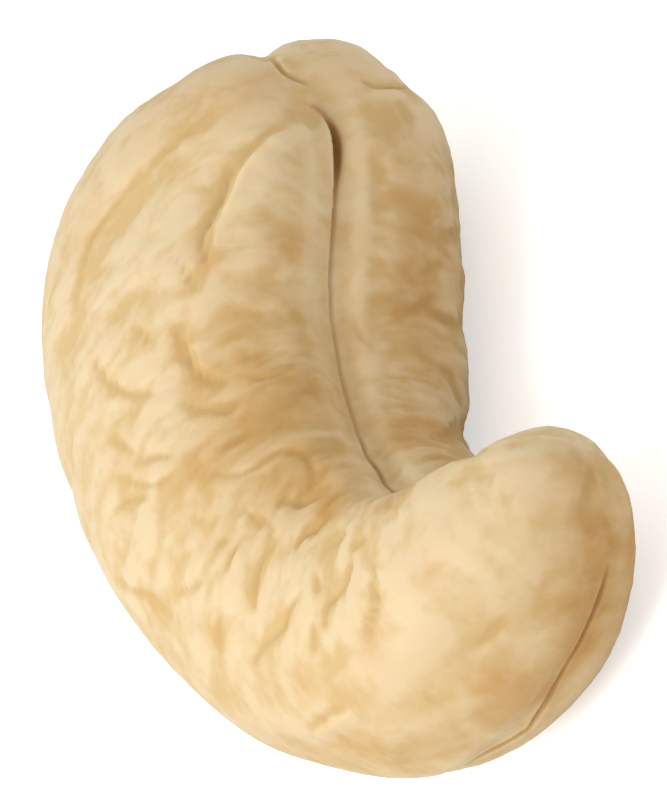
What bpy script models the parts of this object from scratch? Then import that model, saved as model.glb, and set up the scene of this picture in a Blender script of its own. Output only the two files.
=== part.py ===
"""A whole roasted cashew kernel, lying on its side.

The kernel is one grown piece. Two seed leaves lie pressed together, one above the
other, round a curved line that runs from the big end to the small end. The slit
between them opens on the hollow side, their seam closes on the back, and the root
nub sits between them at the big end.

+X is the big end, -Y the hollow side and +Z is up. Sizes are in millimetres and the
finished mesh is in metres, with its origin under the middle of its box.
"""

import math

import bmesh
import bpy
import numpy as np
from mathutils import Vector, noise

MM = 0.001

# Stations along the kernel, from the big tip to the small tip, evenly spaced.
LINE_X = (12.5, 7.3, 2.6, -2.1, -6.9, -10.9, -12.4)
LINE_Y = (-2.6, -0.2, 2.0, 3.5, 3.2, 0.5, -5.4)
LINE_Z = (0.3, 0.4, 0.5, 0.3, -0.3, -0.6, -0.6)
HALF_WIDTH = (7.3, 7.5, 6.7, 5.5, 4.8, 3.9, 3.5)
HALF_HEIGHT_TOP = (5.2, 5.4, 5.6, 5.1, 4.4, 3.8, 3.3)
HALF_HEIGHT_BELOW = (5.9, 5.1, 5.1, 4.9, 4.4, 4.0, 3.4)

# The ends are rounded over this length, and a section is a little squarer than an ellipse.
TIP_LENGTH = 5.9
TIP_ROUNDNESS = 2.3
SECTION_ROUNDNESS = 2.15
OUTER_LEAN = -0.07

# Where slit and seam run round the section, in degrees from the back towards the top,
# at evenly spaced shares of the line.
SLIT_TURN = (164.0, 165.2, 166.4, 165.5, 166.5, 160.8, 154.0, 145.2, 135.0)
SEAM_TURN = (3.0, -2.0, -10.0, -23.0, -28.0)

# The leaves swell beside the slit, which leaves a valley along it.
VALLEY_DEPTH = 0.64
VALLEY_HALF_ANGLE = 0.35
SLIT_DEPTH = 0.55
SLIT_HALF_WIDTH = 0.32
SLIT_START = 0.165
SLIT_END = 0.90
SEAM_DEPTH = 0.28
SEAM_HALF_WIDTH = 0.38
SEAM_END = 0.96

# The root nub: its middle as a share of the line and a turn, and its half sizes.
NUB_PLACE = (0.085, 174.5)
NUB_HALF_LENGTH = 2.7
NUB_HALF_WIDTH = 1.95
NUB_HEIGHT = 0.50
NUB_REACH_INWARDS = 2.5
NUB_GROOVE = 0.22

# Ridges and furrows that are drawn on the upper leaf, and the swell of the back near the
# small end: places along them as a share of the line and a turn in degrees, then the half
# width and the height in millimetres.
BACK_SWELL = ((0.715, -8), (0.745, -12), (0.775, -16))
CHEEK_RIDGE = ((0.183, 155), (0.211, 146), (0.245, 138), (0.283, 134))
CHEEK_FURROW = ((0.205, 141), (0.228, 135), (0.270, 130), (0.304, 127))
BACK_FURROW = ((0.156, 128), (0.186, 110), (0.223, 91), (0.286, 82))
STROKES = (
    (CHEEK_RIDGE, 0.45, 0.16),
    (CHEEK_FURROW, 0.45, -0.30),
    (BACK_FURROW, 0.60, -0.18),
    (BACK_SWELL, 1.30, 0.22),
    (((0.373, 118), (0.425, 120), (0.456, 125)), 0.40, -0.20),
    (((0.442, 114), (0.487, 124)), 0.40, -0.15),
    (((0.708, 127), (0.681, 119)), 0.40, -0.18),
    (((0.752, 118), (0.716, 105)), 0.40, -0.18),
    (((0.683, 102), (0.678, 94), (0.687, 82)), 0.40, -0.20),
    (((0.642, 73), (0.644, 63)), 0.40, -0.15),
    (((0.740, 82), (0.701, 69)), 0.40, -0.18),
    (((0.826, 93), (0.793, 80)), 0.40, -0.15),
)

# Shallow wrinkles lie across the leaves all over.
WRINKLE_HEIGHT = 0.22
WRINKLE_LENGTH_ALONG = 1.7
WRINKLE_LENGTH_ROUND = 3.2
WRINKLE_SEED = Vector((3.7, 9.1, 5.3))

# The belly is worn to a narrow flat, which the kernel rests on.
BELLY_FLAT = 0.16

# The mesh: rings along the kernel and columns round it.
TIP_RINGS = 15
MIDDLE_RINGS = 48
COLUMNS = 64

KERNEL_COLOUR = (0.80, 0.64, 0.38, 1.0)
KERNEL_ROUGHNESS = 0.5


def clear_scene():
    for thing in list(bpy.data.objects):
        bpy.data.objects.remove(thing, do_unlink=True)


def spline(values, t):
    """A natural cubic through evenly spaced values, read at t from 0 to 1."""
    values = np.asarray(values, float)
    last = len(values) - 1
    system = np.eye(last + 1)
    pull = np.zeros(last + 1)
    for k in range(1, last):
        system[k, k - 1 : k + 2] = 1, 4, 1
        pull[k] = 6 * (values[k - 1] - 2 * values[k] + values[k + 1])
    bend = np.linalg.solve(system, pull)
    k = np.clip((t * last).astype(int), 0, last - 1)
    after = t * last - k
    before = 1 - after
    curved = (before**3 - before) * bend[k] + (after**3 - after) * bend[k + 1]
    return before * values[k] + after * values[k + 1] + curved / 6


def smooth_step(low, high, x):
    f = np.clip((x - low) / (high - low), 0, 1)
    return f * f * (3 - 2 * f)


def bump(distance, half_width):
    """A round profile across a ridge or furrow, 1 in its middle."""
    return np.exp(-((distance / half_width) ** 2))


def line_point(t):
    return np.stack([spline(row, t) for row in (LINE_X, LINE_Y, LINE_Z)], axis=-1)


def line_length():
    points = line_point(np.linspace(0, 1, 200))
    return np.linalg.norm(np.diff(points, axis=0), axis=1).sum()


LINE_LENGTH = line_length()
TIP_SHARE = TIP_LENGTH / LINE_LENGTH


def line_axes(t):
    """Outward and upward directions of the section at t."""
    step = 1e-4
    ahead = line_point(t + step) - line_point(t - step)
    ahead /= np.linalg.norm(ahead, axis=-1, keepdims=True)
    outward = np.cross(ahead, (0, 0, 1))
    outward /= np.linalg.norm(outward, axis=-1, keepdims=True)
    return outward, np.cross(outward, ahead)


def tip_scale(t):
    """How much of the full section is there: 0 at both tips and 1 between the round ends."""
    from_tip = np.minimum(t, 1 - t) / TIP_SHARE
    reach = np.clip(1 - from_tip, 0, 1)
    return np.sqrt(1 - reach**TIP_ROUNDNESS)


def slit_angle(t):
    return np.radians(spline(SLIT_TURN, t))


def seam_angle(t):
    return np.radians(spline(SEAM_TURN, t))


def around(angle, middle):
    """The turn from middle to angle, between half a turn back and half a turn on."""
    return np.angle(np.exp(1j * (angle - middle)))


def smooth_surface(t, angle):
    """The kernel's form without its relief."""
    scale = tip_scale(t)
    cosine = np.cos(angle)
    sine = np.sin(angle)
    power = SECTION_ROUNDNESS
    square = (np.abs(cosine) ** power + np.abs(sine) ** power) ** (-1 / power)
    width = spline(HALF_WIDTH, t) * np.where(cosine > 0, 1 + OUTER_LEAN, 1 - OUTER_LEAN)
    height = np.where(sine > 0, spline(HALF_HEIGHT_TOP, t), spline(HALF_HEIGHT_BELOW, t))
    valley = VALLEY_DEPTH * bump(around(angle, slit_angle(t)), VALLEY_HALF_ANGLE)
    out = scale * (width * cosine * square + valley)
    rise = scale * height * sine * square
    outward, upward = line_axes(t)
    return line_point(t) + outward * out[..., None] + upward * rise[..., None]


def ring_places():
    """Where each ring lies on the line: evenly round the ends and evenly between them."""
    turn = np.linspace(0, math.pi / 2, TIP_RINGS + 1)
    tip = TIP_SHARE * (1 - np.cos(turn) ** (2 / TIP_ROUNDNESS))
    middle = np.linspace(TIP_SHARE, 1 - TIP_SHARE, MIDDLE_RINGS + 1)
    return np.concatenate([tip, middle[1:-1], 1 - tip[::-1]])


def column_angles(t, share):
    """Columns from the slit round to the seam and back, closer together at both."""
    turn = 2 * math.pi * share
    gap = around(seam_angle(t), slit_angle(t)) % (2 * math.pi) - math.pi
    return slit_angle(t) + turn + gap * np.sin(turn / 2) ** 2 - 0.25 * np.sin(2 * turn)


def slit_relief(t, angle):
    across = around(angle, slit_angle(t)) * spline(HALF_HEIGHT_TOP, t)
    open_part = smooth_step(SLIT_START - 0.02, SLIT_START + 0.03, t)
    open_part *= 1 - smooth_step(SLIT_END - 0.1, SLIT_END, t)
    return -SLIT_DEPTH * open_part * bump(across, SLIT_HALF_WIDTH)


def seam_relief(t, angle):
    across = around(angle, seam_angle(t)) * spline(HALF_HEIGHT_TOP, t) * tip_scale(t)
    closed_tip = 1 - 0.7 * smooth_step(SEAM_END - 0.04, SEAM_END, t)
    return -SEAM_DEPTH * closed_tip * tip_scale(t) * bump(across, SEAM_HALF_WIDTH)


def nub_relief(point):
    """A rounded tongue that lies along the line, with a groove on both of its sides."""
    t = np.array([NUB_PLACE[0]])
    turn = np.radians([NUB_PLACE[1]])
    middle = smooth_surface(t, turn)[0]
    along = smooth_surface(t + 0.01, turn)[0] - middle
    along /= np.linalg.norm(along)
    side = smooth_surface(t, turn + 0.05)[0] - middle
    side -= along * (side @ along)
    side /= np.linalg.norm(side)
    away = point - middle
    lengthwise = away @ along / NUB_HALF_LENGTH
    sideways = away @ side / NUB_HALF_WIDTH
    reach = np.sqrt(lengthwise**2 + sideways**2)
    tongue = NUB_HEIGHT * np.clip(1 - reach**2, 0, 1) ** 0.75
    flank = smooth_step(0.35, 0.8, np.abs(sideways))
    near = smooth_step(-NUB_REACH_INWARDS - 1, -NUB_REACH_INWARDS, away @ np.cross(along, side))
    return near * (tongue - NUB_GROOVE * flank * bump(reach - 1.08, 0.16))


def stroke_relief(point, places, half_width, height):
    """A ridge or furrow along the given places, fading out at both of its ends."""
    t = np.array([place[0] for place in places], float)
    turn = np.radians([place[1] for place in places])
    shares = np.linspace(0, 1, len(places))
    fine = np.linspace(0, 1, 24)
    path = smooth_surface(np.interp(fine, shares, t), np.interp(fine, shares, turn))
    gaps = np.linalg.norm(point[:, None] - path[None], axis=-1)
    fade = np.sin(math.pi * np.clip(0.12 + 0.76 * fine, 0, 1))
    return height * (bump(gaps, half_width) * fade).max(axis=1)


def wrinkle_relief(t, angle):
    """Uneven folds that run round the leaves more than along them."""
    along = t * LINE_LENGTH / WRINKLE_LENGTH_ALONG
    about = np.cos(angle) * 5 / WRINKLE_LENGTH_ROUND
    above = np.sin(angle) * 5 / WRINKLE_LENGTH_ROUND
    spots = (Vector(row) + WRINKLE_SEED for row in zip(along, about, above))
    folds = np.array([0.5 - abs(noise.noise(spot)) for spot in spots])
    return WRINKLE_HEIGHT * folds * smooth_step(0, 0.4, tip_scale(t))


def kernel_mesh():
    """A sphere whose rings and columns are carried onto the kernel."""
    rings = ring_places()
    mesh = bmesh.new()
    bmesh.ops.create_uvsphere(mesh, u_segments=COLUMNS, v_segments=len(rings) - 1, radius=1)
    ball = np.array([vert.co[:] for vert in mesh.verts])
    ring = np.rint(np.arccos(np.clip(ball[:, 2], -1, 1)) / math.pi * (len(rings) - 1))
    t = rings[ring.astype(int)]
    share = np.arctan2(ball[:, 1], ball[:, 0]) / (2 * math.pi) % 1.0
    angle = column_angles(t, share)
    point = smooth_surface(t, angle)
    for vert, place in zip(mesh.verts, point):
        vert.co = place
    bmesh.ops.recalc_face_normals(mesh, faces=mesh.faces)
    mesh.normal_update()
    height = slit_relief(t, angle) + seam_relief(t, angle) + nub_relief(point)
    height += wrinkle_relief(t, angle)
    for places, half_width, tall in STROKES:
        height += stroke_relief(point, places, half_width, tall)
    normal = np.array([vert.normal[:] for vert in mesh.verts])
    return mesh, point + normal * height[:, None]


def settled(point):
    """The points with the belly flattened, centred over the origin and in metres."""
    ground = point[:, 2].min() + BELLY_FLAT
    point[:, 2] = np.maximum(point[:, 2], ground) - ground
    middle = (point.max(axis=0) + point.min(axis=0)) / 2
    return (point - (middle[0], middle[1], 0)) * MM


def kernel_material():
    material = bpy.data.materials.new("kernel_cream")
    material.use_nodes = True
    shader = material.node_tree.nodes["Principled BSDF"]
    shader.inputs["Base Color"].default_value = KERNEL_COLOUR
    shader.inputs["Roughness"].default_value = KERNEL_ROUGHNESS
    shader.inputs["Metallic"].default_value = 0.0
    return material


def make_kernel():
    mesh, point = kernel_mesh()
    for vert, place in zip(mesh.verts, settled(point)):
        vert.co = place
    bmesh.ops.triangulate(mesh, faces=mesh.faces)
    bmesh.ops.recalc_face_normals(mesh, faces=mesh.faces)
    data = bpy.data.meshes.new("kernel")
    mesh.to_mesh(data)
    mesh.free()
    data.shade_smooth()
    data.materials.append(kernel_material())
    kernel = bpy.data.objects.new("kernel", data)
    bpy.context.scene.collection.objects.link(kernel)


clear_scene()
make_kernel()
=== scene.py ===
# %% [markdown]
# # A roasted cashew kernel
# This scene dresses one imported solid: a whole cashew kernel that lies on its side. The solid
# brings the right size, the bend, the slit and the seam. What is missing is what the eye
# looks for from close by: the crisp crack between the two seed leaves, the crumpled folds
# of flesh that dried in the roaster, and a waxy cream colour with toasted patches, into
# which painted shade and painted light are also laid.
#
# The plan is the way a sculptor works, from large to small. We take a copy of the solid,
# make its mesh finer, press in the crack and the folds, and paint it last.

# %% Load the imported kernel as a fixed frame
import math

import bpy
import numpy as np
from mathutils import Matrix, Vector, noise
from mathutils.bvhtree import BVHTree


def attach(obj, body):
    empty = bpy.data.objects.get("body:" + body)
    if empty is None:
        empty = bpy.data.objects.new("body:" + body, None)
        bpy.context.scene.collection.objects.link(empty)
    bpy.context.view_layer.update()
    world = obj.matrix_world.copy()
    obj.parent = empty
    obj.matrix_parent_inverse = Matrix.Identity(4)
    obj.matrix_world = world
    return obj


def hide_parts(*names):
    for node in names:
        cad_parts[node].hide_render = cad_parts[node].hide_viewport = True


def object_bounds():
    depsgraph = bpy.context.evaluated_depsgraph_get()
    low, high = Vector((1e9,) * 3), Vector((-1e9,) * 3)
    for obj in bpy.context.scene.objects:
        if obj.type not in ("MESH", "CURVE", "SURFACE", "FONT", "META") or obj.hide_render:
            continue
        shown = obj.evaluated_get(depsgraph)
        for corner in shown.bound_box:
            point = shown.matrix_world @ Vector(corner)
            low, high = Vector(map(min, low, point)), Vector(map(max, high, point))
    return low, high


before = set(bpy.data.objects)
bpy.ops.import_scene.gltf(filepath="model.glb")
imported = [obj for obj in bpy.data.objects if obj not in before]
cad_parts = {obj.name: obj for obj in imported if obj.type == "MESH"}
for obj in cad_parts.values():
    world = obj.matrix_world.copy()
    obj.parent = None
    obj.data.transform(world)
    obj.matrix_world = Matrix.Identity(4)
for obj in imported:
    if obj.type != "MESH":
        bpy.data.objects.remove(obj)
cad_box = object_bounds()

MM = 0.001
print("packed nodes:", sorted(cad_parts))
print("packed box in mm:", [round(side / MM, 2) for side in cad_box[1] - cad_box[0]])

# %% [markdown]
# ## Camera
# The photograph was taken from above one end of the kernel, with a long lens, and it stands
# on its corner: what is up in the room is at the left in the picture. A camera can be aimed
# with a Track To constraint, but then it has no roll. Three turns in a row say the same as
# a photographer would: walk round the object, climb, and turn the camera in the hand. The
# sensor is as wide as the long side of the picture, so the lens follows from how many
# pixels one millimetre covers.

# %% Place the camera
PHOTO_WIDTH = 667
PHOTO_HEIGHT = 800
CAMERA_WALK = math.radians(-68.81)
CAMERA_CLIMB = math.radians(27.99)
CAMERA_ROLL = math.radians(-74.18)
CAMERA_DISTANCE = 249.6 * MM
CAMERA_AIM = Vector((0.825, -0.285, 4.642)) * MM
PIXELS_PER_MM = 35.03
AIM_PIXEL = (334.1, 397.5)
SENSOR = 36.0
NEAREST_SEEN = 10 * MM

camera_turn = (
    Matrix.Rotation(CAMERA_WALK, 4, "Z")
    @ Matrix.Rotation(math.pi / 2 - CAMERA_CLIMB, 4, "X")
    @ Matrix.Rotation(CAMERA_ROLL, 4, "Z")
)
towards_camera = camera_turn.to_3x3() @ Vector((0, 0, 1))
camera_place = CAMERA_AIM + towards_camera * CAMERA_DISTANCE
focal_pixels = PIXELS_PER_MM * CAMERA_DISTANCE / MM

bpy.ops.object.camera_add(location=camera_place, rotation=camera_turn.to_euler())
camera = bpy.context.object
camera.name = "studio_camera"
camera.data.sensor_width = SENSOR
camera.data.lens = focal_pixels / PHOTO_HEIGHT * SENSOR
camera.data.shift_x = (PHOTO_WIDTH / 2 - AIM_PIXEL[0]) / PHOTO_HEIGHT
camera.data.shift_y = (AIM_PIXEL[1] - PHOTO_HEIGHT / 2) / PHOTO_HEIGHT
camera.data.clip_start = NEAREST_SEEN
bpy.context.scene.camera = camera
print("lens in mm:", round(camera.data.lens, 1))

# %% [markdown]
# ## A finer copy of the kernel
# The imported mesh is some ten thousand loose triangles, and it must stay as it is, so the
# flesh is a copy. Merging closes the copy, and turning its triangles back into quads lets
# Subdivision Surface round it evenly. A voxel remesh would also give small faces, but it
# forgets the rows that follow the slit, and those rows are what keeps the crack crisp.

# %% Copy, merge and subdivide
FINE_LEVELS = 2
MERGE_GAP = 0.001 * MM


def select_only(thing):
    """Operators work on what is selected and active, so this comes before each of them."""
    bpy.ops.object.select_all(action="DESELECT")
    thing.select_set(True)
    bpy.context.view_layer.objects.active = thing


flesh = bpy.data.objects.new("kernel_flesh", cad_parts["kernel"].data.copy())
flesh.data.name = "kernel_flesh"
flesh.data.materials.clear()
bpy.context.scene.collection.objects.link(flesh)
select_only(flesh)
bpy.ops.object.mode_set(mode="EDIT")
bpy.ops.mesh.select_all(action="SELECT")
bpy.ops.mesh.remove_doubles(threshold=MERGE_GAP)
bpy.ops.mesh.tris_convert_to_quads(face_threshold=math.pi, shape_threshold=math.pi)
bpy.ops.object.mode_set(mode="OBJECT")
rounding = flesh.modifiers.new("rounding", "SUBSURF")
rounding.levels = FINE_LEVELS
rounding.render_levels = FINE_LEVELS
bpy.ops.object.modifier_apply(modifier="rounding")
print("fine copy:", len(flesh.data.polygons), "faces")

# %% [markdown]
# ## Finding places on the kernel
# Some features are known from the photograph, by a pixel, and others by how far they lie
# along the kernel and round it. Both are turned into points on the skin with rays. A ray
# through a pixel starts in the camera. A ray for the other kind starts on the curved line
# that the two leaves grew round, and looks outwards. The value named skin is always the
# surface as it was last felt, so that a path isn't bent by the relief pressed beside it.

# %% Rays through pixels and rays from the middle line
LINE_X = (13.3, 8.1, 3.4, -1.3, -6.1, -10.1, -11.6)
LINE_Y = (-2.9, -0.5, 1.7, 3.2, 2.9, 0.2, -5.7)
LINE_Z = (4.9, 5.0, 5.1, 4.9, 4.3, 4.0, 4.0)
LINE_STEPS = 400


def feel():
    """The skin as it is now, ready to be met by rays."""
    return BVHTree.FromObject(flesh, bpy.context.evaluated_depsgraph_get())


def skin_at_pixel(x, y):
    """Where the ray through a pixel of the photograph meets the skin."""
    across = (x - AIM_PIXEL[0]) / focal_pixels
    down = (y - AIM_PIXEL[1]) / focal_pixels
    look = camera_turn.to_3x3() @ Vector((across, -down, -1))
    return skin.ray_cast(camera_place, look)[0]


def on_skin(pixels):
    """The points of the skin that show at a row of pixels, in millimetres."""
    return [skin_at_pixel(*pixel) / MM for pixel in pixels]


def through_stations(values, shares):
    """A smooth run through evenly spaced stations, by cubic pieces."""
    values = np.array(values, float)
    slopes = np.gradient(values)
    place = np.clip(shares, 0, 1) * (len(values) - 1)
    k = np.minimum(place.astype(int), len(values) - 2)
    f = place - k
    back = (2 * f**3 - 3 * f**2 + 1) * values[k] + (f**3 - 2 * f**2 + f) * slopes[k]
    return back + (3 * f**2 - 2 * f**3) * values[k + 1] + (f**3 - f**2) * slopes[k + 1]


line_shares = np.linspace(0, 1, LINE_STEPS)
line = np.stack([through_stations(row, line_shares) for row in (LINE_X, LINE_Y, LINE_Z)], 1)
ahead = np.gradient(line, axis=0)
line_lengths = np.concatenate([[0], np.cumsum(np.linalg.norm(ahead, axis=1)[1:])])
ahead /= np.linalg.norm(ahead, axis=1, keepdims=True)
outward = np.cross(ahead, (0, 0, 1))
outward /= np.linalg.norm(outward, axis=1, keepdims=True)
upward = np.cross(outward, ahead)
print("length of the middle line in mm:", round(line_lengths[-1], 1))


def skin_from_line(share, turn):
    """Where a ray meets the skin that leaves the line at turn degrees from the back."""
    k = int(round(share * (LINE_STEPS - 1)))
    angle = math.radians(turn)
    look = outward[k] * math.cos(angle) + upward[k] * math.sin(angle)
    return skin.ray_cast(Vector(line[k]) * MM, Vector(look))[0]

# %% [markdown]
# ## Moving the skin
# All relief is made the way one paints and presses: a weight for each point of the skin,
# and a Displace modifier that lifts or sinks the skin along its normals by that weight.
# Sculpt brushes need a hand, and a bump in the material would leave the outline smooth.

# %% Read, measure and lift the skin
LEAST_WEIGHT = 0.01
RUB_STRENGTH = 0.5
CURVE_POINTS = 30
PATH_STEP = 0.08
LEAST_STEPS = 8


def skin_points():
    """Where the points of the skin lie, in millimetres."""
    places = np.empty(len(flesh.data.vertices) * 3)
    flesh.data.vertices.foreach_get("co", places)
    return places.reshape(-1, 3) / MM


def skin_normals():
    """Which way the skin faces at each of its points."""
    normals = np.empty(len(flesh.data.vertices) * 3)
    flesh.data.vertex_normals.foreach_get("vector", normals)
    return normals.reshape(-1, 3)


def spread(which, values):
    """Values for some points of the skin, and nought for all the others."""
    everywhere = np.zeros(len(flesh.data.vertices))
    everywhere[which] = values
    return everywhere


def lift(name, heights):
    """Moves each point of the skin along its normal by its own height in millimetres."""
    most = float(np.abs(heights).max())
    for sign, word in ((1, "up"), (-1, "down")):
        weights = np.clip(sign * heights / most, 0, 1)
        group = flesh.vertex_groups.new(name=name + "_" + word)
        for k in np.nonzero(weights > 0)[0].tolist():
            group.add((k,), float(weights[k]), "REPLACE")
        push = flesh.modifiers.new(group.name, "DISPLACE")
        push.vertex_group = group.name
        push.strength = sign * most * MM
        push.mid_level = 0
    select_only(flesh)
    for modifier in list(flesh.modifiers):
        bpy.ops.object.modifier_apply(modifier=modifier.name)
    flesh.vertex_groups.clear()
    print(name, "moves the skin by", round(heights.min(), 3), "to", round(heights.max(), 3), "mm")


def relax(name, weights, rounds):
    """Smooths the skin where the weights are, as a thumb rubs clay."""
    group = flesh.vertex_groups.new(name=name)
    for k in np.nonzero(weights > LEAST_WEIGHT)[0].tolist():
        group.add((k,), float(weights[k]), "REPLACE")
    rub = flesh.modifiers.new(name, "SMOOTH")
    rub.vertex_group = name
    rub.factor = RUB_STRENGTH
    rub.iterations = rounds
    select_only(flesh)
    bpy.ops.object.modifier_apply(modifier=name)
    flesh.vertex_groups.clear()
    print(name, "rubs", int((weights > LEAST_WEIGHT).sum()), "points")


def bump(x, half_width):
    """A soft hill of height 1."""
    return np.exp(-((x / half_width) ** 2))


def smooth_step(low, high, x):
    """0 up to low, 1 from high on, and a soft slope between them."""
    f = np.clip((x - low) / (high - low), 0, 1)
    return f * f * (3 - 2 * f)


def fine_path(points):
    """A smooth run through points in millimetres, laid on the skin, with a point every step."""
    points = np.array([tuple(point) for point in points])
    shares = np.linspace(0, 1, CURVE_POINTS * len(points))
    curve = np.stack([through_stations(points[:, k], shares) for k in range(3)], 1)
    run = np.concatenate([[0], np.cumsum(np.linalg.norm(np.diff(curve, axis=0), axis=1))])
    even = np.linspace(0, run[-1], max(int(run[-1] / PATH_STEP), LEAST_STEPS))
    path = np.stack([np.interp(even, run, curve[:, k]) for k in range(3)], 1)
    return np.array([skin.find_nearest(Vector(point) * MM)[0] / MM for point in path])


def beside(path, places, normals, reach):
    """The points within reach of a path, how far off, how far aside and where along it."""
    middle = path.mean(0)
    radius = np.linalg.norm(path - middle, axis=1).max() + reach
    which = np.nonzero(np.linalg.norm(places - middle, axis=1) < radius)[0]
    squares = ((places[which][:, None] - path[None]) ** 2).sum(2)
    nearest = squares.argmin(1)
    away = np.sqrt(squares.min(1))
    close = away < reach
    which, nearest, away = which[close], nearest[close], away[close]
    along = np.gradient(path, axis=0)
    along /= np.linalg.norm(along, axis=1, keepdims=True)
    aside = np.cross(normals[which], along[nearest])
    offset = ((places[which] - path[nearest]) * aside).sum(1)
    return which, away, np.sign(offset) * away, nearest / (len(path) - 1)

# %% [markdown]
# ## Rubbing out the facets
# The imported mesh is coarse, and subdivision keeps a trace of its faces as flats on the
# outline. A few rounds of smoothing take them out, more of them at the small end, which is
# quite smooth in the photograph. Smoothing shrinks a round end a little, so it is lifted
# back by as much.

# %% Smooth the whole copy a little
ALL_ROUNDS = 8
TIP_PIXEL = (600, 560)
TIP_REACH = 3.2
TIP_ROUNDS = 30
TIP_LIFT = 0.05

skin = feel()
relax("all_facets", np.ones(len(flesh.data.vertices)), ALL_ROUNDS)
tip = np.array(skin_at_pixel(*TIP_PIXEL) / MM)
at_tip = bump(np.linalg.norm(skin_points() - tip, axis=1), TIP_REACH)
relax("tip_facets", at_tip, TIP_ROUNDS)
lift("tip", TIP_LIFT * at_tip)

# %% [markdown]
# ## Feeling for the slit and the seam
# The solid already has a soft groove for both. The crisp crack has to lie in its bottom, so
# we feel for it: at each share of the line, rays try a few turns, and the one that falls
# short of both its neighbours most is in the groove. Where the photograph shows a groove,
# its pixels are followed instead. A few felt points beside the join are skipped, so that
# the two runs meet without a kink.

# %% Follow both grooves
SLIT_TURNS = (166, 169, 168, 160, 145)
SEAM_TURNS = (3, -2, -10, -23, -28)
SLIT_SHARES = (0.185, 0.88)
SEAM_SHARES = (0.04, 0.97)
FEEL_SWING = 7
FEEL_GAP = 3
FEEL_STEP = 0.5
FEEL_ALONG = 0.02
SLIT_SEEN = (
    (315, 112), (322, 117), (328, 126), (332, 140), (334, 160), (334, 180), (332, 205),
    (330, 235), (328, 265), (328, 300), (331, 335), (337, 370), (346, 405), (357, 440),
    (369, 465), (383, 487),
)
SEAM_SEEN = (
    (512, 741), (526, 733), (536, 719), (548, 701), (558, 682), (569, 661), (579, 643),
    (590, 620), (600, 596), (608, 572), (611, 556),
)
SLIT_SKIPPED = 2
SEAM_SKIPPED = 6


def groove(shares, turns):
    """A path along the bottom of a soft groove of the solid, by shares of the line."""
    path = []
    swing = FEEL_SWING + FEEL_GAP
    gap = int(FEEL_GAP / FEEL_STEP)
    for share in np.arange(*shares, FEEL_ALONG):
        guess = float(through_stations(turns, np.array([share]))[0])
        tries = np.arange(guess - swing, guess + swing + FEEL_STEP, FEEL_STEP)
        centre = Vector(line[int(round(share * (LINE_STEPS - 1)))]) * MM
        hits = [skin_from_line(share, turn) for turn in tries]
        far = np.array([(hit - centre).length / MM for hit in hits])
        dip = far[2 * gap :] + far[: -2 * gap] - 2 * far[gap:-gap]
        path.append(np.array(hits[gap + int(dip.argmax())] / MM))
    path = np.array(path)
    path[1:-1] = (path[:-2] + 2 * path[1:-1] + path[2:]) / 4
    return path


skin = feel()
seen = on_skin(SLIT_SEEN)
felt_slit = groove(SLIT_SHARES, SLIT_TURNS)
joint = np.linalg.norm(felt_slit - seen[-1], axis=1).argmin() + SLIT_SKIPPED
slit_path = fine_path(seen + list(felt_slit[joint:]))
seen = on_skin(SEAM_SEEN)
felt_seam = groove(SEAM_SHARES, SEAM_TURNS)
joint = np.linalg.norm(felt_seam - seen[0], axis=1).argmin() - SEAM_SKIPPED
seam_path = fine_path(list(felt_seam[:joint]) + seen)
slit_length, seam_length = len(slit_path) * PATH_STEP, len(seam_path) * PATH_STEP
print("slit and seam in mm:", round(slit_length, 1), round(seam_length, 1))

# %% [markdown]
# ## Smaller faces beside the cracks
# The slit and the seam are little wider than one face, and so are two short creases at the
# root nub. Only the faces beside them are subdivided again, so that the rest of the mesh
# stays light.

# %% Subdivide beside slit, seam and nub creases
BESIDE_SLIT = 0.55
BESIDE_SEAM = 0.32
NOTCH_PIXELS = ((271, 59), (281, 68), (292, 76), (306, 82))
CREASE_PIXELS = ((405, 90), (396, 88), (384, 87), (373, 85), (364, 81))
BESIDE_NOTCH = 0.38


def refine_beside(path, reach):
    """Cuts the faces within reach of a path in four."""
    places = skin_points()
    close = np.zeros(len(places), bool)
    close[beside(path, places, skin_normals(), reach)[0]] = True
    select_only(flesh)
    bpy.ops.object.mode_set(mode="EDIT")
    bpy.ops.mesh.select_all(action="DESELECT")
    bpy.ops.object.mode_set(mode="OBJECT")
    for face in flesh.data.polygons:
        face.select = all(close[k] for k in face.vertices)
    bpy.ops.object.mode_set(mode="EDIT")
    bpy.ops.mesh.subdivide(number_cuts=1, smoothness=0)
    bpy.ops.object.mode_set(mode="OBJECT")
    print("faces now:", len(flesh.data.polygons))


refine_beside(slit_path, BESIDE_SLIT)
refine_beside(seam_path, BESIDE_SEAM)
for pixels in (NOTCH_PIXELS, CREASE_PIXELS):
    refine_beside(fine_path(on_skin(pixels)), BESIDE_NOTCH)

# %% [markdown]
# ## Rubbing out the soft grooves
# The solid's own grooves are too soft for a crack, and a sharper one pressed into them
# would lie in a ditch. So they are rubbed out first, as one closes a seam in clay before
# cutting it afresh. Along the small end's arm the solid's seam runs beside the one in the
# photograph, so that stretch gets a wider rub.

# %% Rub both grooves out
SLIT_HEAL = 0.42
SLIT_ROUNDS = 200
SEAM_HEAL = 0.34
SEAM_ROUNDS = 160
ARM_HEAL = 0.55
ARM_OVERLAP = 2
HEAL_FULL = 0.6
HEAL_NONE = 2.4
HEAL_REACH = 2.5


def heal(name, path, half_width, rounds):
    """Rubs the solid's soft groove out, so that a crisp crack can take its place."""
    which, away = beside(path, skin_points(), skin_normals(), HEAL_REACH * half_width)[:2]
    weights = 1 - smooth_step(HEAL_FULL * half_width, HEAL_NONE * half_width, away)
    relax(name, spread(which, weights), rounds)


heal("slit_heals", np.vstack([fine_path(felt_slit), slit_path]), SLIT_HEAL, SLIT_ROUNDS)
heal("seam_heals", np.vstack([fine_path(felt_seam), seam_path]), SEAM_HEAL, SEAM_ROUNDS)
heal("arm_heals", fine_path(felt_seam[joint - ARM_OVERLAP :]), ARM_HEAL, SEAM_ROUNDS)
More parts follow.
